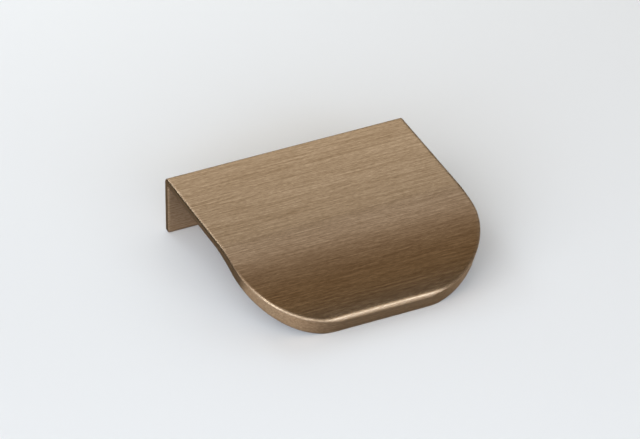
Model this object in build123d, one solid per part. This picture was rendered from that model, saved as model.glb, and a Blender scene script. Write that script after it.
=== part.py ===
from build123d import *
import math
import os

# A short edge pull made from one extruded profile, in millimetres.
# X runs along the strip, the nose points to -Y and +Z is up. The origin is the inside corner where the
# seat under the plate meets the lip, at mid-width.

# Overall sizes
width = 70.0
reach = 64.15  # from the lip's outer face to the foremost line of the nose

# Plate and lip
plate_thickness = 2.0
lip_thickness = 2.0
bend_radius = 1.5  # outside of the turn from the plate into the lip
seat_corner_radius = 0.25  # inside of that turn, small so that a square edge seats fully
lip_end_radius = 0.5

# Curved front
flat_run = 35.75  # level length of the top, from the lip's outer face
under_lead = 4.35  # how much sooner the underside starts to curve than the top
nose_slope = 43.3  # slope of the top where the nose starts, in degrees
nose_radius = 1.6
front_tilt = 24.0  # how far the front face leans back below the nose, in degrees
front_height = 4.25  # flat part of the front face, between the nose and the heel
heel_radius = 0.6

# Outline, milled square to the lean of the front face
corner_radius = 22.8
upper_edge_radius = 0.4  # of the upper edge round both corners and both ends
lower_edge_radius = 0.2  # of the lower one

# Countersunk screw holes through the lip
hole_inset = 11.0  # from each end of the strip to a hole's axis
hole_drop = 7.5  # from the seat down to a hole's axis
hole_diameter = 3.5
sink_diameter = 6.2
sink_angle = 90.0

# Stock on the extrusion outside the finished outline, before it is milled
end_allowance = 5.0
front_allowance = 0.03

slope_sine = math.sin(math.radians(nose_slope))
slope_cosine = math.cos(math.radians(nose_slope))
tilt_sine = math.sin(math.radians(front_tilt))
tilt_cosine = math.cos(math.radians(front_tilt))

# Top curve: it leaves the level top and meets the nose at nose_slope
top_radius = (reach - flat_run - nose_radius * (1 - slope_sine)) / slope_sine

# Centres of the nose and of the heel, as the run from the lip's outer face and the drop below the seat
nose_run = reach - nose_radius
nose_drop = top_radius - plate_thickness - (top_radius - nose_radius) * slope_cosine
heel_run = nose_run + (nose_radius - heel_radius) * tilt_cosine - front_height * tilt_sine
heel_drop = nose_drop + (nose_radius - heel_radius) * tilt_sine + front_height * tilt_cosine

# Underside curve: it leaves the seat and meets the heel's rounding without a step
under_run = flat_run - under_lead
under_radius = ((heel_run - under_run) ** 2 + heel_drop**2 - heel_radius**2) / (2 * (heel_drop + heel_radius))
under_slope = math.degrees(math.atan2(heel_run - under_run, under_radius - heel_drop))

# The lip reaches as low as the heel, so the strip stands level
lip_depth = heel_drop + heel_radius


def profile():
    """The section of the extrusion, one chain of lines and arcs. The lip's end is still sharp."""
    with BuildSketch(Plane.YZ.offset(-width / 2 - end_allowance)) as section:
        with BuildLine():
            top = Line((lip_thickness - bend_radius, plate_thickness), (lip_thickness - flat_run, plate_thickness))
            brow = JernArc(top @ 1, top % 1, top_radius, nose_slope)
            nose = JernArc(brow @ 1, brow % 1, nose_radius, 90 + front_tilt - nose_slope)
            front = Line(nose @ 1, nose @ 1 + front_height * (nose % 1))
            heel = JernArc(front @ 1, front % 1, heel_radius, 90 - front_tilt + under_slope)
            underside = JernArc(heel @ 1, heel % 1, under_radius, -under_slope)
            seat = Line(underside @ 1, (-seat_corner_radius, 0))
            seat_corner = JernArc(seat @ 1, seat % 1, seat_corner_radius, -90)
            lip_inside = Line(seat_corner @ 1, (0, -lip_depth))
            lip_bottom = Line(lip_inside @ 1, (lip_thickness, -lip_depth))
            lip_outside = Line(lip_bottom @ 1, (lip_thickness, plate_thickness - bend_radius))
            JernArc(lip_outside @ 1, lip_outside % 1, bend_radius, 90)
        make_face()
    return section.sketch


def outline():
    """The strip seen along its front face, drawn below it: straight ends and two round front corners."""
    nose_place = (lip_thickness - nose_run) * tilt_cosine - nose_drop * tilt_sine
    front = nose_place - nose_radius + front_allowance
    back = lip_thickness * tilt_cosine + plate_thickness * tilt_sine + end_allowance
    radius = min(corner_radius, width / 2 - heel_radius)
    with BuildSketch(Plane.XY.rotated((front_tilt, 0, 0)).offset(-reach)) as plan:
        with Locations((0, (front + back) / 2)):
            Rectangle(width, back - front)
        fillet(plan.vertices().sort_by(Axis.Y)[:2], radius)
    return plan.sketch


def round_edges(strip):
    """Rounds the lower edge, the upper edge and the two long edges of the lip, each within its walls."""
    thinnest_wall = min(plate_thickness, lip_thickness)
    forward = Axis((0, 0, 0), (0, -tilt_cosine, -tilt_sine))
    lower_edge = strip.edges().filter_by(Axis.X).group_by(forward)[-1].sort_by(Axis.Z)[0]
    fillet(lower_edge, min(lower_edge_radius, 0.4 * thinnest_wall))
    upper_edge = strip.edges().filter_by(Axis.X).group_by(forward)[-1].sort_by(Axis.Z)[-1]
    fillet(upper_edge, min(upper_edge_radius, 0.4 * thinnest_wall))
    lip_bottom = strip.faces().filter_by(Axis.Z).sort_by(Axis.Z)[0]
    fillet(lip_bottom.edges().filter_by(Axis.X), min(lip_end_radius, 0.4 * lip_thickness))


def handle_strip():
    """The whole pull: the extrusion milled to its outline, with its edges rounded and its lip drilled."""
    with BuildPart() as strip:
        extrude(profile(), amount=width + 2 * end_allowance)
        extrude(outline(), amount=2 * reach, mode=Mode.INTERSECT)
        round_edges(strip)
        for side in (-1, 1):
            hole_mouth = (side * (width / 2 - hole_inset), lip_thickness, -hole_drop)
            with Locations(Plane(hole_mouth, x_dir=(1, 0, 0), z_dir=(0, 1, 0))):
                CounterSinkHole(hole_diameter / 2, sink_diameter / 2, lip_thickness, sink_angle)
    return strip.part


os.makedirs("parts", exist_ok=True)
export_step(handle_strip(), "parts/handle_strip.step")
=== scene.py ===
import math

import bpy
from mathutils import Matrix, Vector


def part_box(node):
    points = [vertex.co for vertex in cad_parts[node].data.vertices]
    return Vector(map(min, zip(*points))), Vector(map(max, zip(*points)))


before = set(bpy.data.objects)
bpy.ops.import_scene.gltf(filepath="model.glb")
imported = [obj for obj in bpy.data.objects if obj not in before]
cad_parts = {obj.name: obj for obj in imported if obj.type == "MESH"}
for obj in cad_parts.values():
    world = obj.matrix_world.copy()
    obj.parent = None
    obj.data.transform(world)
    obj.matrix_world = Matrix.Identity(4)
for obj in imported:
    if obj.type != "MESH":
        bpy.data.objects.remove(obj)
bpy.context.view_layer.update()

millimetre = 0.001

stripLow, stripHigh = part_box("handle_strip")
print("frame loaded, strip in mm:", [round(side / millimetre, 2) for side in stripHigh - stripLow])


cameraView = {
    "azimuth": -25.04,  # degrees from straight in front, negative towards the strip's left end
    "elevation": 34.62,  # degrees
    "distance": 1.536,  # metres from the point that it aims at
    "aimPoint": Vector((0.004165, -0.01237, -0.0143)),
    "focalLength": 320.6,  # mm
    "sensorWidth": 36,  # mm
    "clipRange": (0.01, 50),  # metres
}


def skyward(azimuth, elevation):
    # the direction that lies at these angles, counted as for the camera
    around, up = math.radians(azimuth), math.radians(elevation)
    return Vector((
        math.sin(around) * math.cos(up),
        -math.cos(around) * math.cos(up),
        math.sin(up),
    ))


def lookingBack(azimuth, elevation):
    # the rotation of a camera or lamp that stands in that direction and looks at the strip
    return math.radians(90 - elevation), 0, math.radians(azimuth)


def placeCamera(view):
    data = bpy.data.cameras.new("studioCamera")
    data.sensor_width = view["sensorWidth"]
    data.lens = view["focalLength"]
    data.clip_start, data.clip_end = view["clipRange"]
    camera = bpy.data.objects.new("studioCamera", data)
    bpy.context.scene.collection.objects.link(camera)
    camera.location = view["aimPoint"] + view["distance"] * skyward(view["azimuth"], view["elevation"])
    camera.rotation_euler = lookingBack(view["azimuth"], view["elevation"])
    bpy.context.scene.camera = camera
    print("camera placed")


floorLook = {
    "size": 8.0,  # metres
    "color": (0.89, 0.866, 0.844),
    "roughness": 0.9,
    "shine": 0.1,
}


def layFloor(look):
    bpy.ops.object.select_all(action="DESELECT")
    bpy.ops.mesh.primitive_plane_add(size=look["size"], location=(0, 0, stripLow.z))
    floor = bpy.context.object
    floor.name = "studioFloor"
    material = bpy.data.materials.new("paleFloor")
    material.use_nodes = True
    shader = material.node_tree.nodes["Principled BSDF"]
    shader.inputs["Base Color"].default_value = (*look["color"], 1)
    shader.inputs["Roughness"].default_value = look["roughness"]
    shader.inputs["Specular IOR Level"].default_value = look["shine"]
    floor.data.materials.append(material)
    print("floor laid")


softBoxes = {
    # azimuth and elevation in degrees, as for the camera; distance and size in metres; power in watts
    "leftBox": {
        "azimuth": -68, "elevation": 44, "distance": 2.0,
        "size": (2.0, 1.9), "power": 13, "color": (0.94, 1, 1.07),
    },
    "frontBox": {
        "azimuth": -14, "elevation": 15, "distance": 1.0,
        "size": (1.7, 0.5), "power": 9.9, "color": (0.82, 1, 1.24),
    },
    "browBox": {
        "azimuth": -9, "elevation": 35, "distance": 1.2,
        "size": (1.84, 0.32), "power": 3.1, "color": (0.98, 0.95, 0.83),
    },
    "rearBox": {
        "azimuth": 171, "elevation": 24, "distance": 0.35,
        "size": (0.34, 0.16), "power": 0.24, "color": (0.97, 1.04, 1.05),
    },
    "edgeBox": {
        "azimuth": 200, "elevation": 40, "distance": 0.35,
        "size": (0.1, 0.08), "power": 0.12, "color": (0.85, 1, 1.15),
    },
    "rimBox": {
        "azimuth": -55, "elevation": 12, "distance": 1.0,
        "size": (0.9, 0.3), "power": 2.2, "color": (0.8, 1, 1.27),
    },
}


def hangSoftBoxes(boxes):
    for name, box in boxes.items():
        data = bpy.data.lights.new(name, "AREA")
        data.shape = "RECTANGLE"
        data.size, data.size_y = box["size"]
        data.energy = box["power"]
        data.color = box["color"]
        lamp = bpy.data.objects.new(name, data)
        bpy.context.scene.collection.objects.link(lamp)
        lamp.location = box["distance"] * skyward(box["azimuth"], box["elevation"])
        lamp.rotation_euler = lookingBack(box["azimuth"], box["elevation"])
    print("soft boxes hung")


def feed(links, source, socket):
    # a socket is linked, and a number, color or direction is set
    if isinstance(source, bpy.types.NodeSocket):
        links.new(source, socket)
    else:
        socket.default_value = source


def maths(nodes, links, operation, *sources):
    node = nodes.new("ShaderNodeMath")
    node.operation = operation
    for source, socket in zip(sources, node.inputs):
        feed(links, source, socket)
    return node.outputs["Value"]


def between(nodes, links, value, span, results, interpolation="LINEAR"):
    # goes from the first result to the second while the value crosses the span
    node = nodes.new("ShaderNodeMapRange")
    node.interpolation_type = interpolation
    node.inputs["From Min"].default_value, node.inputs["From Max"].default_value = span
    node.inputs["To Min"].default_value, node.inputs["To Max"].default_value = results
    links.new(value, node.inputs["Value"])
    return node.outputs["Result"]


def blend(nodes, links, kind, share, low, high):
    # all low where the share is 0 and all high where it is 1
    node = nodes.new("ShaderNodeMix")
    node.data_type = kind
    for name, source in (("Factor", share), ("A", low), ("B", high)):
        feed(links, source, node.inputs[name])
    return node.outputs["Result"]


studioSky = {
    # each band: elevation in degrees and the light there, in front of the strip, behind it and at its sides
    "front": [
        (46, (0.04, 0.04, 0.04)),
        (52, (0.05, 0.04, 0.03)),
        (60, (0.33, 0.27, 0.17)),
        (70, (0.32, 0.25, 0.16)),
    ],
    "behind": [
        (26, (0.02, 0.02, 0.02)),
        (33, (0.14, 0.13, 0.12)),
        (40, (0.72, 0.73, 0.76)),
        (46, (0.87, 0.9, 0.94)),
        (52, (0.87, 0.9, 0.94)),
        (58, (0.64, 0.62, 0.59)),
        (64, (0.45, 0.38, 0.31)),
        (70, (0.42, 0.4, 0.35)),
    ],
    "sides": [
        (0, (0.2, 0.2, 0.2)),
        (14, (0.42, 0.42, 0.42)),
        (45, (0.6, 0.6, 0.6)),
        (90, (0.45, 0.45, 0.45)),
    ],
    "turn": (-0.1, 0.3),  # where along Y the front passes into the back
    "flank": (0.5, 0.8),  # how far out along X the sides begin and are full
}


def skyBands(nodes, links, height, bands):
    ramp = nodes.new("ShaderNodeValToRGB")
    links.new(height, ramp.inputs["Fac"])
    stops = ramp.color_ramp.elements
    while len(stops) < len(bands):
        stops.new(0.5)  # anywhere, because each gets its place below
    for stop, (elevation, light) in zip(stops, bands):
        stop.position = elevation / 90
        stop.color = (*light, 1)
    return ramp.outputs["Color"]


def lightSky(sky):
    world = bpy.data.worlds.new("studioSky")
    bpy.context.scene.world = world
    world.use_nodes = True
    nodes, links = world.node_tree.nodes, world.node_tree.links
    direction = nodes.new("ShaderNodeSeparateXYZ")
    links.new(nodes.new("ShaderNodeTexCoord").outputs["Generated"], direction.inputs[0])
    rise = maths(nodes, links, "ARCSINE", direction.outputs["Z"])
    height = maths(nodes, links, "DIVIDE", rise, math.pi / 2)  # 0 at the horizon and 1 overhead
    outward = maths(nodes, links, "ABSOLUTE", direction.outputs["X"])
    light = skyBands(nodes, links, height, sky["front"])
    for place, span, bands in ((direction.outputs["Y"], "turn", "behind"), (outward, "flank", "sides")):
        share = between(nodes, links, place, sky[span], (0, 1), "SMOOTHSTEP")
        light = blend(nodes, links, "RGBA", share, light, skyBands(nodes, links, height, sky[bands]))
    links.new(light, nodes["Background"].inputs["Color"])
    print("sky lit")


bronze = {
    # each layer of brush marks: noise cells per metre along and across the brushing, and its contrast
    "hairs": (700, 3900, 0.22),
    "strokes": (125, 3300, 0.2),
    "bands": (26, 2700, 0.16),
    "noiseSpan": (0.25, 0.75),  # of the noise, from a mark's least to its most
    "markSpan": (0.6, 1.4),  # of the layers' product, from the darkest to the lightest color
    "markColors": ((0.243, 0.15, 0.082), (0.506, 0.359, 0.235)),
    "edgeTint": (0.6, 0.52, 0.45),  # of what shines at a grazing angle
    "roughness": 0.23,
    "anisotropy": 0.75,
    "grainHeight": 0.004 * millimetre,
    "edgeSoftness": 1.1 * millimetre,  # by which the worn edges look rounded
    "millTilt": 24,  # degrees by which the outline's mill leaned forward
    "millSpan": (0.35, 0.05),  # how far a face looks along the mill, from none of the wall's finish and painted shading to all of it
    "wallRoughness": 0.3,
    # share of the colors on the front and the milled walls, by how far they face along X, 1 at the ends:
    # partly their own finish, partly painted shade that darkens the front and painted light that lightens
    # towards the corners
    "wallFinishAndPaintedShading": [(0, 0.61), (0.2, 0.67), (0.55, 1.2), (1, 1.1)],
    "endFinishAndPaintedShade": 0.34,  # a further share, on the sawn ends and the rounding of their long edges: partly their own finish, partly painted shade and painted dark reflection
    "endSpan": (0.35, 0.65),  # how far a face looks endwise, from none of that tone to all of it
    "frontPull": 2,  # how much more a turn to the front counts there than a turn to the end
}
alongStrip = (1, 0, 0)
towardsBack = (0, 1, 0)


def brushMarks(nodes, links, look, layer):
    along, across, contrast = look[layer]
    stretch = nodes.new("ShaderNodeMapping")
    stretch.inputs["Scale"].default_value = (along, across, across)
    links.new(nodes.new("ShaderNodeTexCoord").outputs["Object"], stretch.inputs["Vector"])
    noise = nodes.new("ShaderNodeTexNoise")
    noise.inputs["Scale"].default_value = 1
    noise.inputs["Detail"].default_value = 1
    links.new(stretch.outputs["Vector"], noise.inputs["Vector"])
    return between(nodes, links, noise.outputs["Fac"], look["noiseSpan"], (1 - contrast, 1 + contrast))


def markColor(nodes, links, look, hairs):
    strokes = brushMarks(nodes, links, look, "strokes")
    bands = brushMarks(nodes, links, look, "bands")
    marks = maths(nodes, links, "MULTIPLY", strokes, bands)
    marks = maths(nodes, links, "MULTIPLY", marks, hairs)
    share = between(nodes, links, marks, look["markSpan"], (0, 1))
    darkest, lightest = look["markColors"]
    return blend(nodes, links, "RGBA", share, (*darkest, 1), (*lightest, 1))


def facing(nodes, links, normal, direction):
    # 1 on a face that looks along the direction, either way, and 0 on one that runs along it
    product = nodes.new("ShaderNodeVectorMath")
    product.operation = "DOT_PRODUCT"
    links.new(normal, product.inputs[0])
    product.inputs[1].default_value = direction
    return maths(nodes, links, "ABSOLUTE", product.outputs["Value"])


def faceFinishAndPaintedShading(nodes, links, look, normal, milled):
    # the color's share on each face by where it looks: partly the faces' own finish, partly painted shade
    # and painted light
    endward = facing(nodes, links, normal, alongStrip)
    wallTone = nodes.new("ShaderNodeFloatCurve")
    links.new(endward, wallTone.inputs["Value"])
    wallTone.mapping.clip_max_y = 2  # because some tones are above 1
    curve = wallTone.mapping.curves[0]
    while len(curve.points) < len(look["wallFinishAndPaintedShading"]):
        curve.points.new(0.5, 0.5)  # anywhere, because each gets its place below
    for point, place in zip(curve.points, look["wallFinishAndPaintedShading"]):
        point.location = place
        point.handle_type = "VECTOR"
    wallTone.mapping.update()
    # the walls' share: partly their own finish, partly painted shade on the front and painted light towards
    # the corners
    tone = blend(nodes, links, "FLOAT", milled, 1, wallTone.outputs["Value"])

    frontward = facing(nodes, links, normal, towardsBack)
    endwise = maths(nodes, links, "MULTIPLY_ADD", frontward, -look["frontPull"], endward)
    # darkens the sawn ends: partly their own finish, partly painted shade and painted dark reflection
    endFinishAndPaintedShade = between(nodes, links, endwise, look["endSpan"], (1, look["endFinishAndPaintedShade"]))
    return maths(nodes, links, "MULTIPLY", tone, endFinishAndPaintedShade)


def wornGrain(nodes, links, look, hairs):
    edges = nodes.new("ShaderNodeBevel")
    edges.inputs["Radius"].default_value = look["edgeSoftness"]
    bump = nodes.new("ShaderNodeBump")
    bump.inputs["Distance"].default_value = look["grainHeight"]
    links.new(hairs, bump.inputs["Height"])
    links.new(edges.outputs["Normal"], bump.inputs["Normal"])
    return bump.outputs["Normal"]


def sheenDirection(nodes, links, normal, milled, millAxis):
    # stretches the sheen as marks do that run round the front and the milled walls, and elsewhere along X
    across = nodes.new("ShaderNodeVectorMath")
    across.operation = "CROSS_PRODUCT"
    links.new(normal, across.inputs[0])
    across.inputs[1].default_value = alongStrip
    return blend(nodes, links, "VECTOR", milled, across.outputs["Vector"], millAxis)


def brushedBronze(look):
    material = bpy.data.materials.new("brushedBronze")
    material.use_nodes = True
    nodes, links = material.node_tree.nodes, material.node_tree.links
    shader = nodes["Principled BSDF"]
    shader.inputs["Metallic"].default_value = 1
    shader.inputs["Specular Tint"].default_value = (*look["edgeTint"], 1)
    shader.inputs["Anisotropic"].default_value = look["anisotropy"]
    tilt = math.radians(look["millTilt"])
    millAxis = (0, -math.sin(tilt), math.cos(tilt))
    normal = nodes.new("ShaderNodeNewGeometry").outputs["Normal"]

    # 1 on the front and the milled walls, which stand along the mill's axis, and 0 on the other faces
    milled = between(nodes, links, facing(nodes, links, normal, millAxis), look["millSpan"], (0, 1))
    hairs = brushMarks(nodes, links, look, "hairs")

    toned = nodes.new("ShaderNodeVectorMath")
    toned.operation = "SCALE"
    links.new(markColor(nodes, links, look, hairs), toned.inputs[0])
    # the brush marks' colors, scaled by each face's finish and painted shading
    links.new(faceFinishAndPaintedShading(nodes, links, look, normal, milled), toned.inputs["Scale"])
    links.new(toned.outputs["Vector"], shader.inputs["Base Color"])

    roughness = between(nodes, links, milled, (0, 1), (look["roughness"], look["wallRoughness"]))
    links.new(roughness, shader.inputs["Roughness"])
    links.new(wornGrain(nodes, links, look, hairs), shader.inputs["Normal"])
    links.new(sheenDirection(nodes, links, normal, milled, millAxis), shader.inputs["Tangent"])
    return material


def finishStrip():
    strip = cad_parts["handle_strip"]
    strip.material_slots[0].material = brushedBronze(bronze)
    print("strip finished")


bpy.context.scene.view_settings.view_transform = "Standard"
placeCamera(cameraView)
layFloor(floorLook)
hangSoftBoxes(softBoxes)
lightSky(studioSky)
finishStrip()
